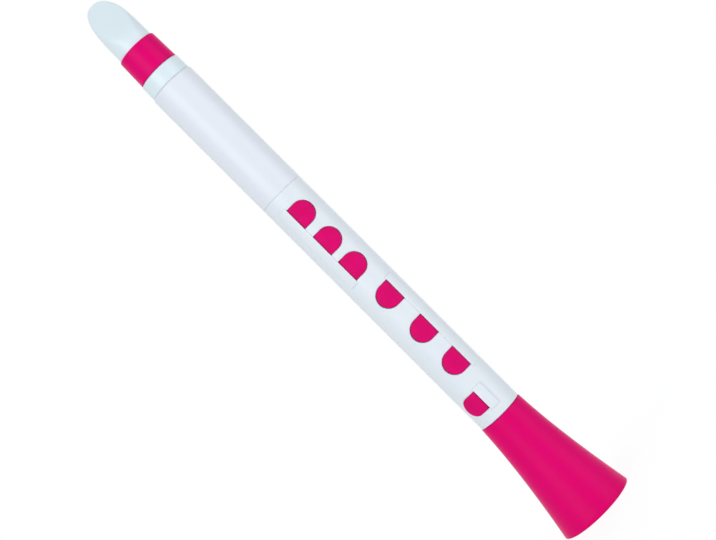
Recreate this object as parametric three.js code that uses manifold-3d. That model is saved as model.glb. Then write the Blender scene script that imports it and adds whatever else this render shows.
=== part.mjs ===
// A plastic clarinet in C that stands on its bell.
// Millimetres. +Z runs up the bore from the bell's rim to the tip of the reed.
// The finger keys face -Y. The reed, the thumb key and the thumb rest are behind, at +Y.
import * as THREE from 'three';
import { mergeVertices } from 'three/addons/utils/BufferGeometryUtils.js';
import Module from 'manifold-3d';

// Bore, tenons and sockets
const BORE_RADIUS = 7.3;
const TENON_WALL = 2.9;
const SOCKET_WALL = 2.1;
const TENON_LENGTH = 16;
const FIT_GAP = 0.3;
const EDGE = 0.5;
const O_RING_SECTION = 1.7;
const O_RING_GAP = 0.12;
const O_RING_SETBACK = 6.5;

// Bell, a flared cup with an even wall
const BELL_LENGTH = 68;
const BELL_STEP = 0.25;
const BELL_RIM_RADIUS = 21.3;
const BELL_FLARE_SWELL = 1.3;
const BELL_FLARE_HEIGHT = 40;
const BELL_WALL = 2.3;
const BELL_STOP = 2;
const BELL_CUP_SWELL = 4.9;
const BELL_CUP_HEIGHT = 42;

// Barrel
const BARREL_LENGTH = 77.2;

// Finger keys, from the left index finger down to the right little finger
const KEY_LENGTH = 12.6;
const LITTLE_KEY_LENGTH = 11;
const KEY_GAPS = [5.7, 4.9, 10.25, 11.2, 9.75, 10.6];
const ABOVE_KEYS = 8.6;
const BELOW_KEYS = 6.6;
const LITTLE_KEY_ANGLE = -40;
const THUMB_KEY_RISE = 0.6;

// The silicone key and its film hinge, seen along the bore
const KEY_STANDOFF = 0.7;
const KEY_THICKNESS = 1.6;
const KEY_FLAT = 5.3;
const KEY_REACH = 11.1;
const KEY_CORNER = 1.2;
const KEY_TRAVEL = 9;
const FILM_THICKNESS = 0.6;
const FILM_TAIL = 1.1;
const PAD_DEPTH = 0.6;
const PAD_OVERLAP = 0.5;
const PAD_SEAT_GAP = 0.2;
const WELL_GAP = 0.45;

// Tone holes
const TONE_HOLE_RADIUS = 3.2;
const CHIMNEY_WALL = 1.0;

// Hinge strip and the rail that clamps it
const STRIP_THICKNESS = 1.2;
const RAIL_THICKNESS = 0.7;
const RAIL_WIDTH = 5.6;
const RAIL_FOOT = 1.3;
const RAIL_END = 1.5;

// Thumb rest
const REST_DROP = 85.5;
const REST_WIDTH = 16;
const REST_HEIGHT = 20;
const REST_PLATE = 1.8;
const REST_CORNER = 4;
const SHELF_WIDTH = 12;
const SHELF_REACH = 20.8;
const SHELF_THICKNESS = 2.6;
const SHELF_DROP = 2.4;
const SHELF_FILLET = 2.6;
const PEG_RADIUS = 1.5;
const PEG_DEPTH = 2.6;
const PEG_SPACING = 11;

// Mouthpiece, reed and ligature
const COLLAR_STEP = 0.6;
const COLLAR_LENGTH = 8.4;
const SEAT_STEP = 1.55;
const CONE_TAPER = 0.018;
const BEAK_LENGTH = 48.3;
const BEAK_START = 22.6;
const TIP_HALF_WIDTH = 8.85;
const TIP_ARC = 9.5;
const TIP_THICKNESS = 0.9;
const TABLE_OFFSET = 6.4;
const TIP_OPENING = 1.1;
const LAY_LENGTH = 17;
const THROAT_RADIUS = 4.9;
const WINDOW_WIDTH = 8;
const WINDOW_LENGTH = 28.5;
const TIP_RAIL = 2.2;
const WINDOW_SLOPE = 3;
const BAFFLE_DROP = 35;
const CHAMBER_DEPTH = 4.2;
const LIGATURE_LENGTH = 16;
const LIGATURE_WALL_TOP = 0.75;
const LIGATURE_WALL_FOOT = 0.85;
const REED_GAP = 0.15;
const REED_WIDTH = 12;
const REED_HEEL = 2.9;
const REED_TIP = 0.35;
const REED_STOCK = 18;
const REED_SETBACK = 0.5;

// How finely round forms are divided
const ROUND = 40;
const PIN_STEPS = 16;
const ARC_STEPS = 8;
const CORNER_STEPS = 2;
const CURVE_STEPS = 7;

// Radii that follow
const TENON_RADIUS = BORE_RADIUS + TENON_WALL;
const SOCKET_RADIUS = TENON_RADIUS + FIT_GAP;
const TUBE_RADIUS = SOCKET_RADIUS + SOCKET_WALL;
const O_RING_RADIUS = SOCKET_RADIUS - O_RING_GAP - O_RING_SECTION / 2;
const GROOVE_RADIUS = SOCKET_RADIUS - O_RING_SECTION - 2 * O_RING_GAP;
const GROOVE_HALF = O_RING_SECTION / 2 + O_RING_GAP;
const KEY_OUTER = TUBE_RADIUS + KEY_STANDOFF;
const KEY_INNER = KEY_OUTER - KEY_THICKNESS;
const FILM_OUTER = KEY_INNER + FILM_THICKNESS;
const STRIP_INNER = FILM_OUTER - STRIP_THICKNESS;
const CHANNEL_FLOOR = STRIP_INNER - FIT_GAP;
const RAIL_INNER = FILM_OUTER + FIT_GAP;
const RAIL_OUTER = RAIL_INNER + RAIL_THICKNESS;
const CHIMNEY_RADIUS = TONE_HOLE_RADIUS + CHIMNEY_WALL;
const PAD_RADIUS = CHIMNEY_RADIUS + PAD_OVERLAP;
const COLLAR_RADIUS = TUBE_RADIUS - COLLAR_STEP;
const SEAT_RADIUS = COLLAR_RADIUS - SEAT_STEP;

// Levels that follow, from the bell up
const BODY_LENGTH =
  ABOVE_KEYS + 6 * KEY_LENGTH + LITTLE_KEY_LENGTH + BELOW_KEYS + KEY_GAPS.reduce((sum, gap) => sum + gap, 0);
const BODY_FOOT = BELL_LENGTH + FIT_GAP;
const BODY_TOP = BODY_FOOT + BODY_LENGTH;
const BARREL_FOOT = BODY_TOP + FIT_GAP;
const BARREL_TOP = BARREL_FOOT + BARREL_LENGTH;
const COLLAR_FOOT = BARREL_TOP + FIT_GAP;
const COLLAR_TOP = COLLAR_FOOT + COLLAR_LENGTH;
const LIGATURE_FOOT = COLLAR_TOP + FIT_GAP;
const LIGATURE_TOP = LIGATURE_FOOT + LIGATURE_LENGTH;
const TIP = COLLAR_TOP + BEAK_LENGTH;
const REED_TOP = TIP - REED_SETBACK;
const REST_LEVEL = BODY_TOP - REST_DROP;

const whitePlastic = { color: 0xe6ebf0, roughness: 0.32, metalness: 0 };
const mouthpiecePlastic = { color: 0xdde6ea, roughness: 0.28, metalness: 0 };
const magentaPlastic = { color: 0xe3086f, roughness: 0.35, metalness: 0 };
const magentaSilicone = { color: 0xdf0a70, roughness: 0.55, metalness: 0 };
const reedPlastic = { color: 0xf2f0e6, roughness: 0.5, metalness: 0 };
const sealRubber = { color: 0x2b2b2e, roughness: 0.7, metalness: 0 };

const wasm = await Module();
wasm.setup();

// Turns a closed geometry into a solid that can be joined and cut
function solidOf(geometry) {
  const bare = geometry.clone();
  bare.deleteAttribute('normal');
  bare.deleteAttribute('uv');
  const merged = mergeVertices(bare, 1e-4);
  const index = merged.index.array;
  const triangles = [];
  for (let i = 0; i < index.length; i += 3) {
    const [a, b, c] = [index[i], index[i + 1], index[i + 2]];
    if (a !== b && b !== c && c !== a) triangles.push(a, b, c);
  }
  const mesh = new wasm.Mesh({
    numProp: 3,
    vertProperties: new Float32Array(merged.attributes.position.array),
    triVerts: new Uint32Array(triangles),
  });
  return new wasm.Manifold(mesh);
}

// Makes the named mesh of one finished piece
function piece(name, solid, look) {
  const mesh = solid.getMesh();
  const geometry = new THREE.BufferGeometry();
  geometry.setAttribute('position', new THREE.BufferAttribute(mesh.vertProperties, 3));
  geometry.setIndex(new THREE.BufferAttribute(mesh.triVerts, 1));
  geometry.computeVertexNormals();
  const named = new THREE.Mesh(geometry, new THREE.MeshStandardMaterial(look));
  named.name = name;
  return named;
}

function assembly(name, parts) {
  const group = new THREE.Group();
  group.name = name;
  group.add(...parts);
  return group;
}

const rad = THREE.MathUtils.degToRad;
const point = (x, y) => new THREE.Vector2(x, y);

// A turned form from its outline of radius and height
function turned(outline) {
  const ring = THREE.ShapeUtils.isClockWise(outline) ? [...outline].reverse() : [...outline];
  ring.push(ring[0].clone());
  return solidOf(new THREE.LatheGeometry(ring, ROUND).rotateX(Math.PI / 2));
}

// An outline in X and Y that runs up the bore
function alongBore(outline, foot, top) {
  const shape = new THREE.Shape(outline);
  return new THREE.ExtrudeGeometry(shape, { depth: top - foot, bevelEnabled: false }).translate(0, 0, foot);
}

// An outline in X and Z that runs from the axis towards the front
function towardsFront(outline, reach) {
  const shape = new THREE.Shape(outline);
  return new THREE.ExtrudeGeometry(shape, { depth: reach, bevelEnabled: false }).rotateX(Math.PI / 2);
}

// An outline in Y and Z that runs across, centred on the axis
function across(outline, width) {
  const shape = new THREE.Shape(outline);
  const turn = new THREE.Matrix4().makeBasis(
    new THREE.Vector3(0, 1, 0),
    new THREE.Vector3(0, 0, 1),
    new THREE.Vector3(1, 0, 0),
  );
  const geometry = new THREE.ExtrudeGeometry(shape, { depth: width, bevelEnabled: false });
  return geometry.translate(0, 0, -width / 2).applyMatrix4(turn);
}

// A round pin from the axis towards the front, between two distances
function frontPin(radius, near, far, level) {
  const pin = new THREE.CylinderGeometry(radius, radius, far - near, PIN_STEPS);
  return pin.translate(0, -(near + far) / 2, level);
}

// The points of an arc between two angles in degrees
function arc(x, y, radius, from, to, steps) {
  return new THREE.EllipseCurve(x, y, radius, radius, rad(from), rad(to), to < from).getPoints(steps);
}

// Part of a ring seen along the bore; angles are in degrees from the front, positive towards +X
function ringPart(inner, outer, from, to, steps) {
  return [...arc(0, 0, outer, from - 90, to - 90, steps), ...arc(0, 0, inner, to - 90, from - 90, steps)];
}

// A straight-sided outline with rounded corners, centred on the axis
function roundedPlate(width, height, corner, level) {
  const x = width / 2 - corner;
  const y = height / 2 - corner;
  return [
    ...arc(x, level + y, corner, 0, 90, 2 * CORNER_STEPS),
    ...arc(-x, level + y, corner, 90, 180, 2 * CORNER_STEPS),
    ...arc(-x, level - y, corner, 180, 270, 2 * CORNER_STEPS),
    ...arc(x, level - y, corner, 270, 360, 2 * CORNER_STEPS),
  ];
}

// Draws a piece with its hinge on the -X side, or flipped so that the hinge is on the +X side
const onSide = (outline, hinge) => outline.map((p) => point(-hinge * p.x, p.y));

// The angle in degrees at which a ring reaches a distance across from the front line
const angleAt = (distance, radius) => THREE.MathUtils.radToDeg(Math.asin(distance / radius));
const arcAngle = (length, radius) => THREE.MathUtils.radToDeg(length / radius);

// The tenon's outline outwards from its shoulder, with a groove for the O-ring
function tenonOutline(shoulder, direction) {
  const near = shoulder + direction * (O_RING_SETBACK - GROOVE_HALF);
  const far = shoulder + direction * (O_RING_SETBACK + GROOVE_HALF);
  return [
    point(TENON_RADIUS, shoulder),
    point(TENON_RADIUS, near),
    point(GROOVE_RADIUS, near),
    point(GROOVE_RADIUS, far),
    point(TENON_RADIUS, far),
    point(TENON_RADIUS, shoulder + direction * (TENON_LENGTH - EDGE)),
    point(TENON_RADIUS - EDGE, shoulder + direction * TENON_LENGTH),
  ];
}

function makeORing(name, shoulder, direction) {
  const ring = new THREE.TorusGeometry(O_RING_RADIUS, O_RING_SECTION / 2, ARC_STEPS, ROUND / 2);
  return piece(name, solidOf(ring.translate(0, 0, shoulder + direction * O_RING_SETBACK)), sealRubber);
}

// Bell: socket above, a stop for the tenon, then the flared cup and a flat rim
function makeBell() {
  const top = TUBE_RADIUS + BELL_STEP;
  const socketFloor = BELL_LENGTH - TENON_LENGTH;
  const path = new THREE.Path();
  path.moveTo(SOCKET_RADIUS + EDGE, BELL_LENGTH);
  path.lineTo(SOCKET_RADIUS, BELL_LENGTH - EDGE);
  path.lineTo(SOCKET_RADIUS, socketFloor);
  path.lineTo(BORE_RADIUS, socketFloor);
  path.lineTo(BORE_RADIUS, socketFloor - BELL_STOP);
  path.quadraticCurveTo(BORE_RADIUS + BELL_CUP_SWELL, BELL_CUP_HEIGHT, BELL_RIM_RADIUS - BELL_WALL, 0);
  path.lineTo(BELL_RIM_RADIUS - EDGE, 0);
  path.lineTo(BELL_RIM_RADIUS, EDGE);
  path.quadraticCurveTo(top + BELL_FLARE_SWELL, BELL_FLARE_HEIGHT, top, BELL_LENGTH - EDGE);
  path.lineTo(top - EDGE, BELL_LENGTH);
  return piece('bell', turned(path.getPoints(CURVE_STEPS)), magentaPlastic);
}

// Barrel: a plain tube with a socket at each end
function makeBarrel() {
  const outline = [
    point(TUBE_RADIUS - EDGE, BARREL_FOOT),
    point(TUBE_RADIUS, BARREL_FOOT + EDGE),
    point(TUBE_RADIUS, BARREL_TOP - EDGE),
    point(TUBE_RADIUS - EDGE, BARREL_TOP),
    point(SOCKET_RADIUS + EDGE, BARREL_TOP),
    point(SOCKET_RADIUS, BARREL_TOP - EDGE),
    point(SOCKET_RADIUS, BARREL_TOP - TENON_LENGTH),
    point(BORE_RADIUS, BARREL_TOP - TENON_LENGTH),
    point(BORE_RADIUS, BARREL_FOOT + TENON_LENGTH),
    point(SOCKET_RADIUS, BARREL_FOOT + TENON_LENGTH),
    point(SOCKET_RADIUS, BARREL_FOOT + EDGE),
    point(SOCKET_RADIUS + EDGE, BARREL_FOOT),
  ];
  return piece('barrel', turned(outline), whitePlastic);
}

// Where the film hinge of a key turns, drawn with the hinge on the -X side
const FILM_START = angleAt(KEY_FLAT, KEY_INNER);
const FILM_END = FILM_START + arcAngle(FILM_TAIL, KEY_INNER);
const HINGE_ANGLE = rad((FILM_START + FILM_END) / 2);
const HINGE_RADIUS = KEY_INNER + FILM_THICKNESS / 2;
const HINGE = point(-HINGE_RADIUS * Math.sin(HINGE_ANGLE), -HINGE_RADIUS * Math.cos(HINGE_ANGLE));

// The floor of a well clears the round end of its key when the key is shut
const ROUND_END = point(KEY_REACH - KEY_FLAT, -Math.sqrt(KEY_INNER ** 2 - (KEY_REACH - KEY_FLAT) ** 2));
const SHUT_END = ROUND_END.clone().rotateAround(HINGE, rad(KEY_TRAVEL));
const WELL_FLOOR = SHUT_END.length() - FIT_GAP;
const CAP_ANGLE = angleAt(KEY_REACH - KEY_FLAT, KEY_INNER) + 2;
const WELL_ANGLE = angleAt(KEY_REACH - KEY_FLAT + WELL_GAP, WELL_FLOOR) + 2;

// The pad under a shut key comes down flat on the chimney of its tone hole
const SHUT_MIDDLE = point(0, -KEY_INNER).rotateAround(HINGE, rad(KEY_TRAVEL));
const PAD_FACE = -SHUT_MIDDLE.y - PAD_DEPTH;
const CHIMNEY_TOP = PAD_FACE - PAD_SEAT_GAP;

// Angles of the rail and its foot, outwards from the flat side of the keys
const RAIL_EDGE = KEY_FLAT + FIT_GAP;
const RAIL_OUTSIDE = angleAt(RAIL_EDGE, RAIL_OUTER) + arcAngle(RAIL_WIDTH, RAIL_OUTER);
const FOOT_INSIDE = RAIL_OUTSIDE - arcAngle(RAIL_FOOT, RAIL_OUTER);
const STRIP_START = FILM_END + arcAngle(FIT_GAP, KEY_INNER);
const STRIP_END = FOOT_INSIDE - arcAngle(FIT_GAP, STRIP_INNER);
const CHANNEL_OUTSIDE = RAIL_OUTSIDE + arcAngle(FIT_GAP, CHANNEL_FLOOR);

// The D of a key seen from the front: a flat hinge side, straight flanks and a half-round end
function keyOutline(length, level, margin, flat, corner) {
  const half = length / 2 + margin;
  const centre = KEY_REACH - KEY_FLAT - length / 2;
  return [
    ...arc(centre, level, half, -90, 90, 2 * ARC_STEPS),
    ...arc(-flat + corner, level + half - corner, corner, 90, 180, CORNER_STEPS),
    ...arc(-flat + corner, level - half + corner, corner, 180, 270, CORNER_STEPS),
  ];
}

// A round pin as it lies on the shut key, swung back with the key to where it rests open
function padPin(near, far, key, group) {
  const x = -group.hinge * HINGE.x;
  const pin = frontPin(PAD_RADIUS, near, far, key.level).translate(-x, -HINGE.y, 0);
  return pin.rotateZ(group.hinge * rad(KEY_TRAVEL)).translate(x, HINGE.y, 0).rotateZ(rad(group.angle));
}

// A silicone key: curved D, film along its flat side and a flat round pad below
function makeKey(key, group) {
  const foot = key.level - key.length / 2;
  const top = key.level + key.length / 2;
  const turn = rad(group.angle);
  const cap = onSide(ringPart(KEY_INNER, KEY_OUTER, -CAP_ANGLE, CAP_ANGLE, ARC_STEPS), group.hinge);
  const dee = onSide(keyOutline(key.length, key.level, 0, KEY_FLAT, KEY_CORNER), group.hinge);
  const film = onSide(ringPart(KEY_INNER, FILM_OUTER, -FILM_END, -FILM_START / 2, CORNER_STEPS), group.hinge);
  const trim = onSide(ringPart(WELL_FLOOR, KEY_OUTER - EDGE, -CAP_ANGLE, CAP_ANGLE, ARC_STEPS), group.hinge);
  const pad = solidOf(padPin(PAD_FACE, -SHUT_MIDDLE.y + FILM_THICKNESS, key, group));
  const solid = solidOf(alongBore(cap, foot, top).rotateZ(turn))
    .intersect(solidOf(towardsFront(dee, 2 * KEY_OUTER).rotateZ(turn)))
    .add(solidOf(alongBore(film, foot + KEY_CORNER, top - KEY_CORNER).rotateZ(turn)))
    .add(pad.intersect(solidOf(alongBore(trim, foot, top).rotateZ(turn))))
    .subtract(solidOf(padPin(PAD_FACE - KEY_THICKNESS, PAD_FACE, key, group)));
  return piece(key.name, solid, magentaSilicone);
}

// The silicone strip that the keys of one group hang from
function makeStrip(group) {
  const outline = onSide(ringPart(STRIP_INNER, FILM_OUTER, -STRIP_END, -STRIP_START, CORNER_STEPS), group.hinge);
  const strip = alongBore(outline, group.foot + KEY_CORNER, group.top - KEY_CORNER).rotateZ(rad(group.angle));
  return piece(`${group.name}_hinge_strip`, solidOf(strip), magentaSilicone);
}

// The white rail that covers the strip, with a foot along its outer edge
function makeRail(group) {
  const edge = (radius) => -angleAt(RAIL_EDGE, radius) - 90;
  const section = [
    ...arc(0, 0, RAIL_OUTER, -RAIL_OUTSIDE - 90, edge(RAIL_OUTER), 2 * CORNER_STEPS),
    ...arc(0, 0, RAIL_INNER, edge(RAIL_INNER), -FOOT_INSIDE - 90, 2 * CORNER_STEPS),
    ...arc(0, 0, STRIP_INNER, -FOOT_INSIDE - 90, -RAIL_OUTSIDE - 90, CORNER_STEPS),
  ];
  const outline = onSide(section, group.hinge);
  const rail = alongBore(outline, group.foot - RAIL_END, group.top + RAIL_END).rotateZ(rad(group.angle));
  return piece(`${group.name}_key_rail`, solidOf(rail), whitePlastic);
}

// What one group of keys takes out of the body: wells, and the channel for strip and rail
function groupCuts(group) {
  const turn = rad(group.angle);
  const deep = TUBE_RADIUS + KEY_THICKNESS;
  const cuts = group.keys.map((key) => {
    const foot = key.level - key.length / 2 - WELL_GAP;
    const top = key.level + key.length / 2 + WELL_GAP;
    const round = onSide(ringPart(WELL_FLOOR, deep, -WELL_ANGLE, WELL_ANGLE, ARC_STEPS), group.hinge);
    const dee = onSide(keyOutline(key.length, key.level, WELL_GAP, RAIL_EDGE, KEY_CORNER), group.hinge);
    const block = solidOf(alongBore(round, foot, top).rotateZ(turn));
    return block.intersect(solidOf(towardsFront(dee, 2 * deep).rotateZ(turn)));
  });
  const edge = (radius) => -angleAt(KEY_FLAT, radius) - 90;
  const section = [
    ...arc(0, 0, deep, -CHANNEL_OUTSIDE - 90, edge(deep), CORNER_STEPS),
    ...arc(0, 0, CHANNEL_FLOOR, edge(CHANNEL_FLOOR), -CHANNEL_OUTSIDE - 90, 2 * CORNER_STEPS),
  ];
  const outline = onSide(section, group.hinge);
  const reach = RAIL_END + FIT_GAP;
  cuts.push(solidOf(alongBore(outline, group.foot - reach, group.top + reach).rotateZ(turn)));
  return cuts;
}

// Lays the keys out down the body
const KEY_NAMES = [
  'left_index_key',
  'left_middle_key',
  'left_ring_key',
  'right_index_key',
  'right_middle_key',
  'right_ring_key',
  'right_little_key',
];
const fingerKeys = [];
let nextTop = BODY_TOP - ABOVE_KEYS;
KEY_NAMES.forEach((name, i) => {
  const length = i < 6 ? KEY_LENGTH : LITTLE_KEY_LENGTH;
  fingerKeys.push({ name, length, level: nextTop - length / 2 });
  nextTop -= length + (KEY_GAPS[i] ?? 0);
});
const thumbKey = { name: 'thumb_key', length: KEY_LENGTH, level: fingerKeys[0].level + THUMB_KEY_RISE };

function keyGroup(name, keys, angle, hinge) {
  const first = keys[0];
  const last = keys[keys.length - 1];
  return { name, keys, angle, hinge, foot: last.level - last.length / 2, top: first.level + first.length / 2 };
}
const groups = [
  keyGroup('left_hand', fingerKeys.slice(0, 3), 0, -1),
  keyGroup('right_hand', fingerKeys.slice(3, 6), 0, 1),
  keyGroup('little_finger', fingerKeys.slice(6), LITTLE_KEY_ANGLE, 1),
  keyGroup('thumb', [thumbKey], 180, 1),
];

const pegLevels = [REST_LEVEL - PEG_SPACING / 2, REST_LEVEL + PEG_SPACING / 2];

// Body: tube with a tenon at each end, wells and channels for the keys, and chimneyed tone holes
function makeBody() {
  const outline = [
    point(0, BODY_FOOT - TENON_LENGTH),
    ...tenonOutline(BODY_FOOT, -1).reverse(),
    point(TUBE_RADIUS - EDGE, BODY_FOOT),
    point(TUBE_RADIUS, BODY_FOOT + EDGE),
    point(TUBE_RADIUS, BODY_TOP - EDGE),
    point(TUBE_RADIUS - EDGE, BODY_TOP),
    ...tenonOutline(BODY_TOP, 1),
    point(0, BODY_TOP + TENON_LENGTH),
  ];
  let solid = turned(outline);
  for (const group of groups) {
    for (const cut of groupCuts(group)) solid = solid.subtract(cut);
  }
  for (const group of groups) {
    for (const key of group.keys) {
      const chimney = frontPin(CHIMNEY_RADIUS, 0, CHIMNEY_TOP, key.level).rotateZ(rad(group.angle));
      solid = solid.add(solidOf(chimney));
    }
  }
  const bore = new THREE.CylinderGeometry(BORE_RADIUS, BORE_RADIUS, BODY_LENGTH + 3 * TENON_LENGTH, ROUND);
  solid = solid.subtract(solidOf(bore.rotateX(Math.PI / 2).translate(0, 0, (BODY_FOOT + BODY_TOP) / 2)));
  for (const group of groups) {
    for (const key of group.keys) {
      const hole = frontPin(TONE_HOLE_RADIUS, 0, 2 * TUBE_RADIUS, key.level).rotateZ(rad(group.angle));
      solid = solid.subtract(solidOf(hole));
    }
  }
  for (const level of pegLevels) {
    const floor = TUBE_RADIUS - PEG_DEPTH - FIT_GAP;
    const hole = frontPin(PEG_RADIUS + FIT_GAP, floor, 2 * TUBE_RADIUS, level).rotateZ(Math.PI);
    solid = solid.subtract(solidOf(hole));
  }
  return piece('body_tube', solid, whitePlastic);
}

// Thumb rest: a plate curved round the body, a shelf over the thumb and two pegs
function makeThumbRest() {
  const inner = TUBE_RADIUS + FIT_GAP;
  const outer = inner + REST_PLATE;
  const shelfTop = REST_LEVEL + REST_HEIGHT / 2 - SHELF_DROP;
  const shelfFoot = shelfTop - SHELF_THICKNESS;
  const half = angleAt(REST_WIDTH / 2, inner) + 2;
  const wrap = ringPart(inner, outer, -half, half, ARC_STEPS);
  const plate = alongBore(wrap, REST_LEVEL - REST_HEIGHT, REST_LEVEL + REST_HEIGHT);
  const face = towardsFront(roundedPlate(REST_WIDTH, REST_HEIGHT, REST_CORNER, REST_LEVEL), 2 * outer);
  const shelfDepth = SHELF_REACH - inner;
  const plan = roundedPlate(SHELF_WIDTH, 2 * shelfDepth, REST_CORNER, -inner);
  const filletAt = -outer - SHELF_FILLET;
  const web = [
    point(-inner, shelfFoot + EDGE),
    point(filletAt, shelfFoot + EDGE),
    ...arc(filletAt, shelfFoot - SHELF_FILLET, SHELF_FILLET, 90, 0, 2 * CORNER_STEPS),
    point(-inner, shelfFoot - SHELF_FILLET),
  ];
  const clear = new THREE.CylinderGeometry(inner, inner, 2 * REST_HEIGHT, ROUND).rotateX(Math.PI / 2);
  let solid = solidOf(alongBore(plan, shelfFoot, shelfTop))
    .add(solidOf(across(web, SHELF_WIDTH - 2 * EDGE)))
    .subtract(solidOf(clear.translate(0, 0, REST_LEVEL)))
    .add(solidOf(plate).intersect(solidOf(face)));
  for (const level of pegLevels) {
    solid = solid.add(solidOf(frontPin(PEG_RADIUS, TUBE_RADIUS - PEG_DEPTH, outer - EDGE, level)));
  }
  const mesh = piece('thumb_rest', solid, whitePlastic);
  mesh.geometry.rotateZ(Math.PI);
  return mesh;
}

const coneRadius = (level) => SEAT_RADIUS - CONE_TAPER * (level - COLLAR_TOP);

// The oval end of the beak or the reed in front view
function ovalTip(halfWidth, tip) {
  return new THREE.EllipseCurve(0, tip - TIP_ARC, halfWidth, TIP_ARC, 0, Math.PI).getPoints(2 * ARC_STEPS);
}

// Mouthpiece: tenon, collar, cone, sloping beak, flat table for the reed, window and bore
function makeMouthpiece() {
  const foot = COLLAR_FOOT - TENON_LENGTH;
  const beakFoot = COLLAR_TOP + BEAK_START;
  const outline = [
    point(0, foot),
    ...tenonOutline(COLLAR_FOOT, -1).reverse(),
    point(COLLAR_RADIUS - EDGE, COLLAR_FOOT),
    point(COLLAR_RADIUS, COLLAR_FOOT + EDGE),
    point(COLLAR_RADIUS, COLLAR_TOP - EDGE),
    point(COLLAR_RADIUS - EDGE, COLLAR_TOP),
    point(SEAT_RADIUS, COLLAR_TOP),
    point(coneRadius(TIP), TIP),
    point(0, TIP),
  ];
  const start = coneRadius(beakFoot);
  const front = [
    point(-2 * TUBE_RADIUS, foot - EDGE),
    point(2 * TUBE_RADIUS, foot - EDGE),
    point(2 * TUBE_RADIUS, beakFoot),
    point(start, beakFoot),
    ...ovalTip(TIP_HALF_WIDTH, TIP),
    point(-start, beakFoot),
    point(-2 * TUBE_RADIUS, beakFoot),
  ];
  const silhouette = towardsFront(front, 4 * TUBE_RADIUS).translate(0, 2 * TUBE_RADIUS, 0);

  const tipBack = TABLE_OFFSET - TIP_OPENING;
  const tipFront = tipBack - TIP_THICKNESS;
  const slope = [
    point(-start, beakFoot),
    point(tipFront, TIP),
    point(tipFront, TIP + EDGE),
    point(-2 * start, TIP + EDGE),
    point(-2 * start, beakFoot),
  ];

  const table = new THREE.Path();
  table.moveTo(TABLE_OFFSET, COLLAR_TOP);
  table.lineTo(TABLE_OFFSET, TIP - LAY_LENGTH);
  table.quadraticCurveTo(TABLE_OFFSET, TIP - LAY_LENGTH / 2, tipBack, TIP);
  table.lineTo(tipBack, TIP + EDGE);
  table.lineTo(2 * TUBE_RADIUS, TIP + EDGE);
  table.lineTo(2 * TUBE_RADIUS, COLLAR_TOP);

  const windowTop = TIP - TIP_RAIL;
  const windowFoot = windowTop - WINDOW_LENGTH;
  const chamber = [
    point(2 * TABLE_OFFSET, windowTop),
    point(tipBack - TIP_THICKNESS / 2, windowTop),
    point(-CHAMBER_DEPTH, windowTop - BAFFLE_DROP),
    point(-CHAMBER_DEPTH, COLLAR_TOP - CHAMBER_DEPTH),
    point(CHAMBER_DEPTH, COLLAR_TOP - CHAMBER_DEPTH),
    point(CHAMBER_DEPTH, windowFoot - WINDOW_SLOPE),
    point(TABLE_OFFSET, windowFoot),
    point(2 * TABLE_OFFSET, windowFoot),
  ];
  const bore = [
    point(0, foot - EDGE),
    point(BORE_RADIUS, foot - EDGE),
    point(BORE_RADIUS, foot),
    point(THROAT_RADIUS, COLLAR_TOP),
    point(0, COLLAR_TOP),
  ];
  const solid = turned(outline)
    .intersect(solidOf(silhouette))
    .subtract(solidOf(across(slope, 4 * TUBE_RADIUS)))
    .subtract(solidOf(across(table.getPoints(6), 4 * TUBE_RADIUS)))
    .subtract(turned(bore))
    .subtract(solidOf(across(chamber, WINDOW_WIDTH)));
  return piece('mouthpiece', solid, mouthpiecePlastic);
}

// Reed: flat on the table, rounded behind like the cone, thinned from the stock to the tip
function makeReed() {
  const flat = TABLE_OFFSET + REED_GAP;
  const heel = LIGATURE_FOOT + EDGE;
  const profile = new THREE.Path();
  profile.moveTo(flat, heel);
  profile.lineTo(flat + REED_HEEL, heel);
  profile.lineTo(flat + REED_HEEL, heel + REED_STOCK);
  profile.quadraticCurveTo(flat + REED_TIP + EDGE, REED_TOP - REED_STOCK / 2, flat + REED_TIP, REED_TOP);
  profile.lineTo(flat, REED_TOP);
  const half = REED_WIDTH / 2;
  const front = [point(-half, heel), point(half, heel), ...ovalTip(half, REED_TOP)];
  const cone = [
    point(0, COLLAR_TOP),
    point(SEAT_RADIUS, COLLAR_TOP),
    point(coneRadius(TIP), TIP),
    point(0, TIP),
  ];
  const solid = solidOf(across(profile.getPoints(6), REED_WIDTH))
    .intersect(turned(cone))
    .intersect(solidOf(towardsFront(front, 2 * TUBE_RADIUS).translate(0, 2 * TUBE_RADIUS, 0)));
  return piece('reed', solid, reedPlastic);
}

// Ligature: a tapered band that wedges the reed on the table and slips off over the tip
function makeLigature() {
  const foot = coneRadius(LIGATURE_FOOT) + FIT_GAP;
  const top = coneRadius(LIGATURE_TOP) + FIT_GAP;
  const outline = [
    point(foot, LIGATURE_FOOT),
    point(foot + LIGATURE_WALL_FOOT, LIGATURE_FOOT),
    point(top + LIGATURE_WALL_TOP, LIGATURE_TOP - 2 * EDGE),
    point(top + LIGATURE_WALL_TOP - EDGE, LIGATURE_TOP),
    point(top, LIGATURE_TOP),
  ];
  return piece('ligature', turned(outline), magentaPlastic);
}

const clarinet = assembly('plastic_clarinet', [
  assembly('bell_end', [makeBell(), makeORing('lower_tenon_o_ring', BODY_FOOT, -1)]),
  assembly('body_section', [
    makeBody(),
    makeThumbRest(),
    ...groups.flatMap((group) => [makeStrip(group), makeRail(group)]),
    ...groups.flatMap((group) => group.keys.map((key) => makeKey(key, group))),
  ]),
  assembly('barrel_section', [makeBarrel(), makeORing('upper_tenon_o_ring', BODY_TOP, 1)]),
  assembly('mouthpiece_section', [
    makeMouthpiece(),
    makeReed(),
    makeLigature(),
    makeORing('mouthpiece_o_ring', COLLAR_FOOT, -1),
  ]),
]);

export default clarinet;
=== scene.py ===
import math

import bpy
from mathutils import Matrix, Vector


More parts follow.
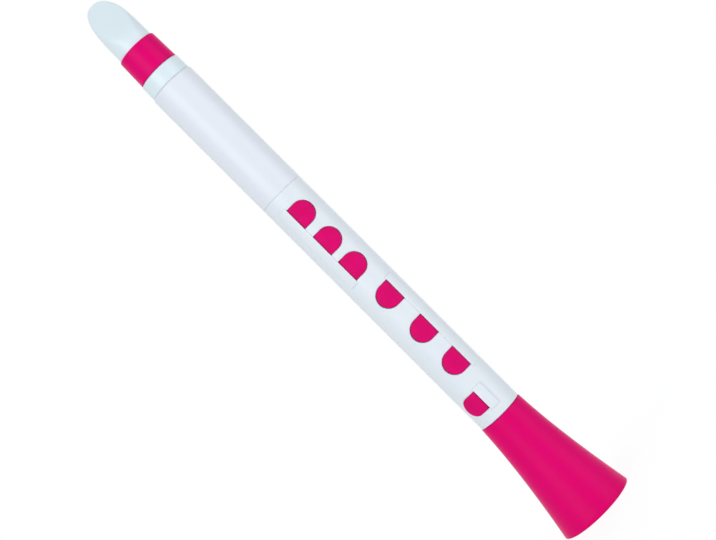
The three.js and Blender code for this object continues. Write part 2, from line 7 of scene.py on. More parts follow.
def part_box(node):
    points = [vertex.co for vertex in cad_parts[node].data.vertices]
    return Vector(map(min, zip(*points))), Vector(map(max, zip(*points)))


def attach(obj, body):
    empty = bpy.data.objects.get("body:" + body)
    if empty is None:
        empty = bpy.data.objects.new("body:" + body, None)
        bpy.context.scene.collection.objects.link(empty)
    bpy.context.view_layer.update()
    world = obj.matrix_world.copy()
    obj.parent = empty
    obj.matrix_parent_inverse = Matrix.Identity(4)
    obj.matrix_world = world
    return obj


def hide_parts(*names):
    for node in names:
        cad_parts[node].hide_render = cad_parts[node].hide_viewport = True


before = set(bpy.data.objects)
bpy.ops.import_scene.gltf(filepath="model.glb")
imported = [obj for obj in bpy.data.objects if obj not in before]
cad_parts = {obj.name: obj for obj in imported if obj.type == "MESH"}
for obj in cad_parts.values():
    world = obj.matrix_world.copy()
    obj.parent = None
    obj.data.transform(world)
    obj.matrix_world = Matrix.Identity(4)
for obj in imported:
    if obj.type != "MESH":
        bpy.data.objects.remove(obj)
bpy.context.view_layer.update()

# Bell
# A flared cup of magenta plastic, moulded in one piece with the socket for the body's lower tenon.
# It is pushed on over an O-ring until the tenon meets the ledge inside, and the clarinet stands on its rim.
# Sizes are in millimetres: radii from the middle of the bore, levels from the bell's rim upwards
MM = 0.001
MERGE = 0.0005 * MM
ROUND = 128
BORE = 7.3
SOCKET = 10.5
CHAMFER = 0.5
BELL_HEIGHT = 68.0
BELL_TOP = 12.85
BELL_TOP_EDGE = 0.5
BELL_RIM = 21.3
BELL_RIM_EDGE = 0.4
BELL_MOUTH = 18.9
BELL_MOUTH_EDGE = 0.5
FLARE_PULL = (14.15, 40)
CUP_PULL = (12.2, 42)
LEDGE_FOOT, LEDGE_TOP = 50.0, 52.0
SHEEN_SPREAD = 0.07


def curve(start, pull, end, steps):
    """Points from start to end on a curve that is drawn towards pull."""
    points = []
    for i in range(steps + 1):
        t = i / steps
        near, middle, far = (1 - t) ** 2, 2 * t * (1 - t), t * t
        points.append(tuple(near * a + middle * b + far * c for a, b, c in zip(start, pull, end)))
    return points


def arc(across, along, radius, first, last, steps):
    """Points of an arc about a centre, between two angles in degrees."""
    angles = [math.radians(first + (last - first) * i / steps) for i in range(steps + 1)]
    return [(across + radius * math.cos(a), along + radius * math.sin(a)) for a in angles]


def draw(name, points):
    """Draws a closed line through points in millimetres, each vertex extruded from the last one."""
    bpy.ops.object.select_all(action="DESELECT")
    bpy.ops.mesh.primitive_plane_add(size=MM, enter_editmode=True, location=(0, 0, 0))
    bpy.context.object.name = name
    bpy.ops.mesh.merge(type="CENTER")
    corners = [Vector(p) * MM for p in points]
    bpy.ops.transform.translate(value=corners[0])
    for here, there in zip(corners, corners[1:] + corners[:1]):
        bpy.ops.mesh.extrude_region_move(TRANSFORM_OT_translate={"value": there - here})
    bpy.ops.mesh.select_all(action="SELECT")
    bpy.ops.mesh.remove_doubles(threshold=MERGE)
    return bpy.context.object


def turned(name, points, axis=(0, 0, 1), level=0.0, steps=ROUND):
    """Spins a drawn outline round the bore, or round a tone hole at a level."""
    made = draw(name, points)
    bpy.ops.mesh.spin(steps=steps, angle=math.tau, center=(0, 0, level * MM), axis=axis)
    bpy.ops.mesh.select_all(action="SELECT")
    bpy.ops.mesh.remove_doubles(threshold=MERGE)
    bpy.ops.mesh.delete_loose()
    bpy.ops.mesh.select_all(action="SELECT")
    bpy.ops.mesh.normals_make_consistent(inside=False)
    bpy.ops.object.mode_set(mode="OBJECT")
    return made


def pick(*objects):
    """Selects only these objects, the first of them active."""
    bpy.ops.object.select_all(action="DESELECT")
    for o in objects:
        o.select_set(True)
    bpy.context.view_layer.objects.active = objects[0]


def smooth(piece, degrees=35):
    """Shades a piece smooth up to an angle between its faces."""
    pick(piece)
    bpy.ops.object.shade_smooth_by_angle(angle=math.radians(degrees))


def new_finish(name):
    """A material, its node tree, its shader and the place on the piece that its patterns follow."""
    material = bpy.data.materials.new(name)
    material.use_nodes = True
    tree = material.node_tree
    place = tree.nodes.new("ShaderNodeTexCoord").outputs["Object"]
    return material, tree, tree.nodes["Principled BSDF"], place


def drawn_out(tree, place, scale):
    """A place on the piece, scaled so that a pattern is drawn out along one direction."""
    mapping = tree.nodes.new("ShaderNodeMapping")
    mapping.inputs["Scale"].default_value = scale
    tree.links.new(place, mapping.inputs["Vector"])
    return mapping.outputs["Vector"]


def mottle(tree, place, scale, detail):
    """A value that varies from place to place without a plan."""
    noise = tree.nodes.new("ShaderNodeTexNoise")
    noise.inputs["Scale"].default_value = scale
    noise.inputs["Detail"].default_value = detail
    tree.links.new(place, noise.inputs["Vector"])
    return noise.outputs["Fac"]


def two_tone(tree, value, first, second, start=0.3, end=0.7):
    """A colour that goes from the first to the second as a value goes from start to end."""
    ramp = tree.nodes.new("ShaderNodeValToRGB")
    ramp.color_ramp.elements[0].position = start
    ramp.color_ramp.elements[0].color = (*first, 1)
    ramp.color_ramp.elements[1].position = end
    ramp.color_ramp.elements[1].color = (*second, 1)
    tree.links.new(value, ramp.inputs["Fac"])
    return ramp.outputs["Color"]


def carried(tree, value, low, high, start=0.0, end=1.0):
    """A value that goes from low to high as another goes from start to end."""
    span = tree.nodes.new("ShaderNodeMapRange")
    span.inputs["From Min"].default_value = start
    span.inputs["From Max"].default_value = end
    span.inputs["To Min"].default_value = low
    span.inputs["To Max"].default_value = high
    tree.links.new(value, span.inputs["Value"])
    return span.outputs["Result"]


def embossed(tree, shader, height, strength, depth, over=None):
    """Gives a shader a relief of a depth in millimetres, over a normal of its own if there is one."""
    bump = tree.nodes.new("ShaderNodeBump")
    bump.inputs["Strength"].default_value = strength
    bump.inputs["Distance"].default_value = depth * MM
    tree.links.new(height, bump.inputs["Height"])
    if over is not None:
        tree.links.new(over, bump.inputs["Normal"])
    tree.links.new(bump.outputs["Normal"], shader.inputs["Normal"])


def moulded(name, colour, clouded, worn, roughness, gloss, flow, edge):
    """Moulded plastic: clouds along the flow, a fine skin, parting lines and paler rubbed edges."""
    material, tree, shader, place = new_finish(name)
    clouds = mottle(tree, drawn_out(tree, place, flow), scale=60, detail=4)
    tint = two_tone(tree, clouds, clouded, colour)

    rounding = tree.nodes.new("ShaderNodeBevel")
    rounding.samples = 6
    rounding.inputs["Radius"].default_value = edge * MM
    rounded = rounding.outputs["Normal"]
    facing = tree.nodes.new("ShaderNodeNewGeometry")
    turn = tree.nodes.new("ShaderNodeVectorMath")
    turn.operation = "DOT_PRODUCT"
    tree.links.new(rounded, turn.inputs[0])
    tree.links.new(facing.outputs["Normal"], turn.inputs[1])
    rubbed = carried(tree, turn.outputs["Value"], low=0, high=0.45, start=0.99, end=0.8)
    wear = tree.nodes.new("ShaderNodeMix")
    wear.data_type = "RGBA"
    wear.inputs["B"].default_value = (*worn, 1)
    tree.links.new(rubbed, wear.inputs["Factor"])
    tree.links.new(tint, wear.inputs["A"])
    tree.links.new(wear.outputs["Result"], shader.inputs["Base Color"])

    handling = mottle(tree, place, scale=240, detail=5)
    sheen = carried(tree, handling, low=roughness - SHEEN_SPREAD, high=roughness + SHEEN_SPREAD)
    tree.links.new(sheen, shader.inputs["Roughness"])

    peel = mottle(tree, place, scale=1100, detail=2)
    halves = tree.nodes.new("ShaderNodeSeparateXYZ")
    tree.links.new(place, halves.inputs["Vector"])
    from_parting = tree.nodes.new("ShaderNodeMath")
    from_parting.operation = "ABSOLUTE"
    tree.links.new(halves.outputs["Y"], from_parting.inputs[0])
    flash = carried(tree, from_parting.outputs["Value"], low=2, high=0, start=0.03 * MM, end=0.12 * MM)
    skin = tree.nodes.new("ShaderNodeMath")
    tree.links.new(peel, skin.inputs[0])
    tree.links.new(flash, skin.inputs[1])
    embossed(tree, shader, skin.outputs["Value"], strength=0.12, depth=0.04, over=rounded)
    shader.inputs["Specular IOR Level"].default_value = gloss
    return material


bell_outline = [
    *curve((BORE, LEDGE_FOOT), CUP_PULL, (BELL_MOUTH, BELL_MOUTH_EDGE), 24),
    *arc(BELL_MOUTH + BELL_MOUTH_EDGE, BELL_MOUTH_EDGE, BELL_MOUTH_EDGE, 180, 270, 4)[1:],
    *arc(BELL_RIM - BELL_RIM_EDGE, BELL_RIM_EDGE, BELL_RIM_EDGE, 270, 360, 6),
    *curve((BELL_RIM, BELL_RIM_EDGE), FLARE_PULL, (BELL_TOP, BELL_HEIGHT - BELL_TOP_EDGE), 30)[1:],
    *arc(BELL_TOP - BELL_TOP_EDGE, BELL_HEIGHT - BELL_TOP_EDGE, BELL_TOP_EDGE, 0, 90, 5)[1:],
    (SOCKET + CHAMFER, BELL_HEIGHT),
    (SOCKET, BELL_HEIGHT - CHAMFER),
    (SOCKET, LEDGE_TOP),
    (BORE, LEDGE_TOP),
]
bell = turned("bell_cup", [(r, 0, z) for r, z in bell_outline])
smooth(bell)
magenta_plastic = moulded(
    "magenta_bell_plastic",
    colour=(0.80, 0.001, 0.165),
    clouded=(0.75, 0.001, 0.15),
    worn=(0.86, 0.012, 0.22),
    roughness=0.34,
    gloss=0.05,
    flow=(1, 1, 0.35),
    edge=0.35,
)
bell.data.materials.append(magenta_plastic)
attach(bell, "bell_section")
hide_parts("bell")

# O-rings
# Black rubber rings, one in the groove of each tenon, that make the push fits tight.
# Each is moulded in two halves, which leave a fine line of flash round the inside and the outside.
SEAL_SECTION = 0.85
SEAL_FLASH = 0.03
SEAL_CLEARANCE = 0.12
SEAL_RADIUS = SOCKET - SEAL_CLEARANCE - SEAL_SECTION
# Each ring's body and its level up the bore
SEALS = {
    "lower_tenon_o_ring": ("lower_seal", 61.8),
    "upper_tenon_o_ring": ("upper_seal", 229.0),
    "mouthpiece_o_ring": ("mouthpiece_seal", 293.8),
}

seal_rubber, seal_tree, seal_shader, seal_place = new_finish("black_seal_rubber")
bloom = mottle(seal_tree, seal_place, scale=700, detail=4)
dust = two_tone(seal_tree, bloom, (0.012, 0.012, 0.014), (0.045, 0.045, 0.048), start=0, end=1)
seal_tree.links.new(dust, seal_shader.inputs["Base Color"])
embossed(seal_tree, seal_shader, bloom, strength=0.3, depth=0.03)
seal_shader.inputs["Roughness"].default_value = 0.55

for node, (seal_body, level) in SEALS.items():
    section = arc(0, 0, SEAL_SECTION, 0, 345, 23)
    # The halves of the mould meet at the outermost and the innermost point
    section[0] = (SEAL_SECTION + SEAL_FLASH, 0)
    section[12] = (-SEAL_SECTION - SEAL_FLASH, 0)
    seal = turned(f"{node}_rubber", [(SEAL_RADIUS + r, 0, level + z) for r, z in section], steps=96)
    smooth(seal, 60)
    seal.data.materials.append(seal_rubber)
    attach(seal, seal_body)
    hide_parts(node)

# Body
# The long white tube, moulded with a tenon at each end. Each key has a curved well with a low chimney
# in its middle, round the tone hole that the key's pad shuts. Beside the wells, channels take the hinge
# strips and their rails.
FRONT = -90
TUBE = 12.6
BODY_ROUND = 160
BODY_FOOT, BODY_TOP = 68.3, 222.5
FOOT_EDGE = 0.3
SEAM_EDGE = 0.1
TENON = 10.2
TENON_LENGTH = 16.0
GROOVE = 8.56
GROOVE_START, GROOVE_END = 5.53, 7.47
WELL_FLOOR = 9.744
WELL_FLAT = 5.9
WELL_CORNER = 0.8
WELL_MARGIN = 0.18
HOLE_ROUND = 48
CHIMNEY = 4.2
CHIMNEY_FOOT, CHIMNEY_TOP = 8.0, 9.956
CHIMNEY_EDGE = 0.2
TONE_HOLE = 3.2
CHANNEL_INSIDE = 5.8
CHANNEL_FLOOR = 10.8
CHANNEL_FAR = 48.97
CHANNEL_LAP = 0.02
KEY_ROUND_END = 5.8
KEY_LENGTH = 12.6
LITTLE_KEY_LENGTH = 11.0
# Each key's level up the bore, its length, the side of its hinge and its turn round the tube from the front
KEYS = {
    "left_index": (207.6, KEY_LENGTH, -1, 0),
    "left_middle": (189.3, KEY_LENGTH, -1, 0),
    "left_ring": (171.8, KEY_LENGTH, -1, 0),
    "right_index": (148.95, KEY_LENGTH, 1, 0),
    "right_middle": (125.15, KEY_LENGTH, 1, 0),
    "right_ring": (102.8, KEY_LENGTH, 1, 0),
    "right_little": (80.4, LITTLE_KEY_LENGTH, 1, -40),
    "thumb": (208.2, KEY_LENGTH, 1, 180),
}
# Each hinge strip's group, the side of its hinge and its turn round the tube
GROUPS = {"left_hand": (-1, 0), "right_hand": (1, 0), "little_finger": (1, -40), "thumb": (1, 180)}
# Where the shapes that cut the body start and end, clear of its wall
WELL_START, WELL_END = 6, 18
HOLE_START, HOLE_END = 4, 15
CHANNEL_END = 14.2
CORE_FOOT, CORE_TOP = 60, 230


def prism(name, points, run):
    """Fills a drawn outline and extrudes it along run, in millimetres."""
    made = draw(name, points)
    bpy.ops.mesh.edge_face_add()
    bpy.ops.mesh.select_all(action="SELECT")
    bpy.ops.mesh.extrude_region_move(TRANSFORM_OT_translate={"value": Vector(run) * MM})
    bpy.ops.mesh.select_all(action="SELECT")
    bpy.ops.mesh.normals_make_consistent(inside=False)
    bpy.ops.object.mode_set(mode="OBJECT")
    return made


def swing(piece, degrees, x=0.0, y=0.0):
    """Turns a piece about an upright line. With no window the operator turns the other way."""
    pick(piece)
    bpy.ops.object.mode_set(mode="EDIT")
    bpy.ops.mesh.select_all(action="SELECT")
    turn = -math.radians(degrees)
    bpy.ops.transform.rotate(value=turn, orient_axis="Z", center_override=(x * MM, y * MM, 0))
    bpy.ops.object.mode_set(mode="OBJECT")


def join(pieces):
    """Makes one object of several."""
    pick(*pieces)
    if len(pieces) > 1:
        bpy.ops.object.join()
    return pieces[0]


def combine(piece, tool, operation):
    """Adds a tool to a piece, cuts it out or keeps what they share, and clears the tool away."""
    pick(piece)
    step = piece.modifiers.new("shape", "BOOLEAN")
    step.operation = operation
    step.solver = "EXACT"
    step.object = tool
    bpy.ops.object.modifier_apply(modifier=step.name)
    bpy.data.objects.remove(tool)


def key_outline(length, level, margin, flat, corner):
    """The D of a key from the front: half-round end, straight flanks and a flat hinge side at -X."""
    half = length / 2 + margin
    middle = KEY_ROUND_END - length / 2
    return [
        *arc(middle, level, half, -90, 90, 48),
        *arc(-flat + corner, level + half - corner, corner, 90, 180, 5),
        *arc(-flat + corner, level - half + corner, corner, 180, 270, 5),
    ]


def side_angle(across, radius):
    """The angle on a circle round the bore at a distance to the left of the front."""
    return FRONT - math.degrees(math.asin(across / radius))


def lengthwise(radius, foot, top, spacing):
    """Points up the side of a tube, close enough together to keep its faces short."""
    count = max(1, round((top - foot) / spacing))
    return [(radius, foot + (top - foot) * i / count) for i in range(count + 1)]


def tenon(shoulder, way):
    """A tenon's outline outwards from its shoulder, with the groove for its O-ring."""
    return [
        (TENON, shoulder),
        (TENON, shoulder + way * GROOVE_START),
        (GROOVE, shoulder + way * GROOVE_START),
        (GROOVE, shoulder + way * GROOVE_END),
        (TENON, shoulder + way * GROOVE_END),
        (TENON, shoulder + way * (TENON_LENGTH - CHAMFER)),
        (TENON - CHAMFER, shoulder + way * TENON_LENGTH),
    ]


body_outline = [
    *lengthwise(BORE, BODY_TOP + TENON_LENGTH, BODY_FOOT - TENON_LENGTH, 4),
    *tenon(BODY_FOOT, -1)[::-1],
    *arc(TUBE - FOOT_EDGE, BODY_FOOT + FOOT_EDGE, FOOT_EDGE, 270, 360, 4),
    *lengthwise(TUBE, BODY_FOOT + FOOT_EDGE, BODY_TOP - SEAM_EDGE, 3)[1:-1],
    *arc(TUBE - SEAM_EDGE, BODY_TOP - SEAM_EDGE, SEAM_EDGE, 0, 90, 4),
    *tenon(BODY_TOP, 1),
]
body = turned("body_moulding", [(r, 0, z) for r, z in body_outline], steps=BODY_ROUND)

chimney_outline = [
    (0, -CHIMNEY_FOOT),
    (CHIMNEY, -CHIMNEY_FOOT),
    *arc(CHIMNEY - CHIMNEY_EDGE, -CHIMNEY_TOP + CHIMNEY_EDGE, CHIMNEY_EDGE, 0, -90, 3),
    (0, -CHIMNEY_TOP),
]
hole_outline = [
    (0, -HOLE_START),
    (TONE_HOLE, -HOLE_START),
    (TONE_HOLE, -CHIMNEY_TOP + CHIMNEY_EDGE),
    (TONE_HOLE + CHIMNEY_EDGE, -CHIMNEY_TOP),
    (TONE_HOLE + CHIMNEY_EDGE, -HOLE_END),
    (0, -HOLE_END),
]
wells, channels, chimneys, holes = [], [], [], []
for level, length, side, angle in KEYS.values():
    dee = key_outline(length, level, WELL_MARGIN, WELL_FLAT, WELL_CORNER)
    well_start = [(-side * x, -WELL_START, z) for x, z in dee]
    wells.append(prism("well", well_start, (0, WELL_START - WELL_END, 0)))
    chimney_side = [(r, y, level) for r, y in chimney_outline]
    chimneys.append(turned("chimney", chimney_side, (0, 1, 0), level, HOLE_ROUND))
    hole_side = [(r, y, level) for r, y in hole_outline]
    holes.append(turned("tone_hole", hole_side, (0, 1, 0), level, HOLE_ROUND))
    for tool in (wells[-1], chimneys[-1], holes[-1]):
        swing(tool, angle)
channel_section = [
    *arc(0, 0, CHANNEL_END, FRONT - CHANNEL_FAR, side_angle(CHANNEL_INSIDE, CHANNEL_END), 8),
    *arc(0, 0, CHANNEL_FLOOR, side_angle(CHANNEL_INSIDE, CHANNEL_FLOOR), FRONT - CHANNEL_FAR, 8),
]
for name, (side, angle) in GROUPS.items():
    low, high = (corner.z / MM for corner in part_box(f"{name}_key_rail"))
    channel_foot = [(-side * x, y, low + CHANNEL_LAP) for x, y in channel_section]
    channels.append(prism("channel", channel_foot, (0, 0, high - low - 2 * CHANNEL_LAP)))
    swing(channels[-1], angle)

# The wells reach down to a core, whose surface gives them their curved floors
core_outline = [(0, CORE_FOOT), (WELL_FLOOR, CORE_FOOT), (WELL_FLOOR, CORE_TOP), (0, CORE_TOP)]
core = turned("well_floor", [(r, 0, z) for r, z in core_outline], steps=BODY_ROUND)
well_tool = join(wells)
combine(well_tool, core, "DIFFERENCE")
combine(body, well_tool, "DIFFERENCE")
combine(body, join(channels), "DIFFERENCE")
combine(body, join(chimneys), "UNION")
combine(body, join(holes), "DIFFERENCE")
smooth(body)
white_plastic = moulded(
    "white_body_plastic",
    colour=(0.80, 0.855, 0.90),
    clouded=(0.77, 0.835, 0.885),
    worn=(0.86, 0.89, 0.92),
    roughness=0.36,
    gloss=0.35,
    flow=(1, 1, 0.2),
    edge=0.3,
)
body.data.materials.append(white_plastic)
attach(body, "body")
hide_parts("body_tube")

# Hinge strips
# A strip of magenta silicone for each group of keys, which hang from it by a thin film.
# It lies in its channel under the rail, so little of it shows.
STRIP_INNER, STRIP_OUTER = 11.1, 12.3
STRIP_NEAR, STRIP_FAR = 33.79, 41.88
STRIP_EDGE = 0.15
STRIP_SHARP = 50

silicone, silicone_tree, silicone_shader, silicone_place = new_finish("magenta_key_silicone")
pigment = mottle(silicone_tree, silicone_place, scale=180, detail=5)
shades = two_tone(silicone_tree, pigment, (0.68, 0.001, 0.137), (0.76, 0.001, 0.165))
silicone_tree.links.new(shades, silicone_shader.inputs["Base Color"])
touch = mottle(silicone_tree, silicone_place, scale=2600, detail=3)
satin = carried(silicone_tree, touch, low=0.46, high=0.62)
silicone_tree.links.new(satin, silicone_shader.inputs["Roughness"])
embossed(silicone_tree, silicone_shader, touch, strength=0.2, depth=0.02)
silicone_shader.inputs["Specular IOR Level"].default_value = 0.07


def bevel_chosen(width, segments):
    """Rounds the edges that are selected in edit mode, and leaves edit mode."""
    bpy.ops.mesh.bevel(offset=width * MM, segments=segments, affect="EDGES")
    bpy.ops.mesh.select_mode(type="VERT")
    bpy.ops.object.mode_set(mode="OBJECT")


strip_section = [
    *arc(0, 0, STRIP_OUTER, FRONT - STRIP_FAR, FRONT - STRIP_NEAR, 6),
    *arc(0, 0, STRIP_INNER, FRONT - STRIP_NEAR, FRONT - STRIP_FAR, 6),
]
for name, (side, angle) in GROUPS.items():
    low, high = (corner.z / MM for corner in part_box(f"{name}_hinge_strip"))
    strip_foot = [(-side * x, y, low) for x, y in strip_section]
    strip = prism(f"{name}_film_strip", strip_foot, (0, 0, high - low))
    swing(strip, angle)
    bpy.ops.object.mode_set(mode="EDIT")
    bpy.ops.mesh.select_mode(type="EDGE")
    bpy.ops.mesh.select_all(action="DESELECT")
    bpy.ops.mesh.edges_select_sharp(sharpness=math.radians(STRIP_SHARP))
    bevel_chosen(STRIP_EDGE, 2)
    smooth(strip)
    strip.data.materials.append(silicone)
    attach(strip, "body")
    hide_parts(f"{name}_hinge_strip")

# Key rails
# Narrow white plastic rails that hold the hinge strips down, glued into the channels by a foot on one edge.
# They stand a little proud of the tube beside the flat sides of the keys, with a rounded edge along them.
RAIL_OUTER = 13.3
RAIL_INSIDE = 5.45
RAIL_FAR = 49.03
RAIL_FOOT = 11.1
RAIL_FOOT_NEAR = 43.43
RAIL_EDGE = 0.4
RAIL_END_EDGE = 0.2
RAIL_SKIN = 0.3


def choose(piece, kind, wanted):
    """Goes into edit mode with the faces or edges selected whose corners are wanted."""
    pick(piece)
    bpy.ops.object.mode_set(mode="EDIT")
    bpy.ops.mesh.select_mode(type=kind)
    bpy.ops.mesh.select_all(action="DESELECT")
    bpy.ops.object.mode_set(mode="OBJECT")
    mesh = piece.data
    for element in mesh.polygons if kind == "FACE" else mesh.edges:
        corners = [mesh.vertices[i].co / MM for i in element.vertices]
        element.select = wanted(corners)
    bpy.ops.object.mode_set(mode="EDIT")


def end_of_skin(corners):
    """Whether an edge runs across the end of a rail, along its outer side."""
    across = corners[0].z == corners[1].z
    return across and min(c.xy.length for c in corners) > RAIL_OUTER - RAIL_SKIN


edge_across = RAIL_INSIDE + RAIL_EDGE
edge_deep = math.sqrt((RAIL_OUTER - RAIL_EDGE) ** 2 - edge_across**2)
edge_start = math.degrees(math.atan2(-edge_deep, -edge_across))
rail_section = [
    *arc(0, 0, RAIL_OUTER, FRONT - RAIL_FAR, edge_start, 10),
    *arc(-edge_across, -edge_deep, RAIL_EDGE, edge_start, 0, 6)[1:],
    *arc(0, 0, TUBE, side_angle(RAIL_INSIDE, TUBE), FRONT - RAIL_FOOT_NEAR, 8),
    *arc(0, 0, RAIL_FOOT, FRONT - RAIL_FOOT_NEAR, FRONT - RAIL_FAR, 3),
]
for name, (side, angle) in GROUPS.items():
    low, high = (corner.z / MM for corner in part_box(f"{name}_key_rail"))
    rail = prism(f"{name}_rail", [(-side * x, y, low) for x, y in rail_section], (0, 0, high - low))
    swing(rail, angle)
    choose(rail, "EDGE", end_of_skin)
    bevel_chosen(RAIL_END_EDGE, 3)
    smooth(rail)
    rail.data.materials.append(white_plastic)
    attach(rail, "body")
    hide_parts(f"{name}_key_rail")

# Keys
# Soft D-shaped flaps of magenta silicone, curved to the tube, that spring open on a film at the flat side.
# Under each is a flat round pad, set so that it lands level on the chimney when a finger shuts the key.
KEY_OUTER = 13.3
KEY_THICKNESS = 1.6
KEY_FLAT = 5.3
KEY_CORNER = 0.6
KEY_EDGE = 0.55
KEY_TRAVEL = 9
HINGE_X, HINGE_Y = -5.9326, -10.4309
FILM_TOP = 1.0
FILM_REACH = 2.05
PAD = 4.7
PAD_EDGE = 0.2
PAD_FACE, PAD_BACK = 10.156, 11.3
PAD_LIMIT = 12.7
RECESS_END = 8.0
BEND_STEP = 0.5
NEAR = 0.01


def curl(piece, radius):
    """Bends a flat plate round the bore, after cuts that let it follow the curve."""
    low = min(v.co.x for v in piece.data.vertices)
    high = max(v.co.x for v in piece.data.vertices)
    pick(piece)
    bpy.ops.object.mode_set(mode="EDIT")
    count = math.ceil((high - low) / (BEND_STEP * MM))
    for i in range(1, count):
        bpy.ops.mesh.select_all(action="SELECT")
        bpy.ops.mesh.bisect(plane_co=(low + (high - low) * i / count, 0, 0), plane_no=(1, 0, 0))
    bpy.ops.object.mode_set(mode="OBJECT")
    bend = piece.modifiers.new("bend", "SIMPLE_DEFORM")
    bend.deform_method = "BEND"
    bend.deform_axis = "Z"
    bend.angle = (high - low) / (radius * MM)
    bpy.ops.object.modifier_apply(modifier=bend.name)
    bpy.ops.object.mode_set(mode="EDIT")
    bpy.ops.mesh.select_all(action="SELECT")
    bpy.ops.transform.translate(value=(0, -radius * MM, 0))
    bpy.ops.object.mode_set(mode="OBJECT")


def on_top(corners):
    """Whether an edge lies on the upper side of a plate that isn't bent yet."""
    return all(abs(c.y) < NEAR for c in corners)


def key_plate(name, length):
    """A key's flap, with the film that runs from its flat side, bent to the tube at level 0."""
    dee = key_outline(length, 0, 0, KEY_FLAT, KEY_CORNER)
    unrolled = [(KEY_OUTER * math.asin(x / KEY_OUTER), 0, z) for x, z in dee]
    flat = min(x for x, y, z in unrolled)
    key = prism(name, unrolled, (0, KEY_THICKNESS, 0))
    pick(key)
    bpy.ops.object.mode_set(mode="EDIT")
    bpy.ops.mesh.select_all(action="SELECT")
    bpy.ops.mesh.bisect(plane_co=(0, FILM_TOP * MM, 0), plane_no=(0, 1, 0))
    bpy.ops.object.mode_set(mode="OBJECT")
    choose(key, "FACE", lambda corners: all(c.x < flat + NEAR and c.y > FILM_TOP - NEAR for c in corners))
    bpy.ops.mesh.extrude_region_move(TRANSFORM_OT_translate={"value": (-FILM_REACH * MM, 0, 0)})
    bpy.ops.object.mode_set(mode="OBJECT")
    choose(key, "EDGE", on_top)
    bevel_chosen(KEY_EDGE, 5)
    curl(key, KEY_OUTER)
    return key


def silicone_key(name, length):
    """One key as it comes from the mould, at level 0 with its hinge at -X."""
    key = key_plate(name, length)
    pad_outline = [
        (0, -PAD_FACE),
        *arc(PAD - PAD_EDGE, -PAD_FACE - PAD_EDGE, PAD_EDGE, 90, 0, 3),
        (PAD, -PAD_BACK),
        (0, -PAD_BACK),
    ]
    pad = turned("pad", [(r, y, 0) for r, y in pad_outline], (0, 1, 0), 0, HOLE_ROUND)
    swing(pad, -KEY_TRAVEL, HINGE_X, HINGE_Y)
    below_skin = [(0, -PAD - 1), (PAD_LIMIT, -PAD - 1), (PAD_LIMIT, PAD + 1), (0, PAD + 1)]
    combine(pad, turned("pad_limit", [(r, 0, z) for r, z in below_skin]), "INTERSECT")
    room = [(0, -PAD_FACE), (PAD, -PAD_FACE), (PAD, -RECESS_END), (0, -RECESS_END)]
    recess = turned("recess", [(r, y, 0) for r, y in room], (0, 1, 0), 0, HOLE_ROUND)
    swing(recess, -KEY_TRAVEL, HINGE_X, HINGE_Y)
    combine(key, pad, "UNION")
    combine(key, recess, "DIFFERENCE")
    smooth(key, 40)
    key.data.materials.append(silicone)
    return key


long_key = silicone_key("long_key", KEY_LENGTH)
short_key = silicone_key("short_key", LITTLE_KEY_LENGTH)
for name, (level, length, side, angle) in KEYS.items():
    pick(long_key if length == KEY_LENGTH else short_key)
    bpy.ops.object.duplicate()
    key = bpy.context.object
    key.name = f"{name}_key_flap"
    bpy.ops.object.mode_set(mode="EDIT")
    bpy.ops.mesh.select_all(action="SELECT")
    if side > 0:
        bpy.ops.transform.resize(value=(-1, 1, 1), center_override=(0, 0, 0))
        bpy.ops.mesh.normals_make_consistent(inside=False)
    bpy.ops.transform.translate(value=(0, 0, level * MM))
    bpy.ops.object.mode_set(mode="OBJECT")
    swing(key, angle)
    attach(key, name)
    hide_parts(f"{name}_key")
bpy.data.objects.remove(long_key)
bpy.data.objects.remove(short_key)

# Thumb rest
# A white plastic hook behind the body, whose shelf rests on the right thumb and carries the clarinet.
# Its plate is curved to the tube and held by two pegs, which don't show.
REST_OUTER = 14.7
REST_LEVEL = 137.0
REST_HALF_WIDTH = 8.0
REST_HALF_HEIGHT = 10.0
REST_CORNER = 4.0
REST_THICKNESS = 1.8
REST_EDGE = 0.6
SHELF_FOOT, SHELF_TOP = 142.0, 144.6
SHELF_ROOT, SHELF_REACH = 13.6, 20.8
SHELF_HALF_WIDTH = 6.0
SHELF_CORNER = 4.0
SHELF_EDGE = 0.5
FILLET = 2.6
FILLET_REACH = 17.3
FILLET_HALF_WIDTH = 5.5
FILLET_LAP = 0.6

plate_side = REST_OUTER * math.asin(REST_HALF_WIDTH / REST_OUTER) - REST_CORNER
plate_end = REST_HALF_HEIGHT - REST_CORNER
plate_outline = [
    *arc(plate_side, REST_LEVEL + plate_end, REST_CORNER, 0, 90, 8),
    *arc(-plate_side, REST_LEVEL + plate_end, REST_CORNER, 90, 180, 8),
    *arc(-plate_side, REST_LEVEL - plate_end, REST_CORNER, 180, 270, 8),
    *arc(plate_side, REST_LEVEL - plate_end, REST_CORNER, 270, 360, 8),
]
rest = prism("thumb_hook", [(x, 0, z) for x, z in plate_outline], (0, REST_THICKNESS, 0))
choose(rest, "EDGE", on_top)
bevel_chosen(REST_EDGE, 4)
curl(rest, REST_OUTER)


def round_the_shelf(corners):
    """Whether an edge of the shelf runs along its upper or lower side, clear of the plate."""
    return max(c.y for c in corners) < -SHELF_ROOT - NEAR and abs(corners[0].z - corners[1].z) < NEAR


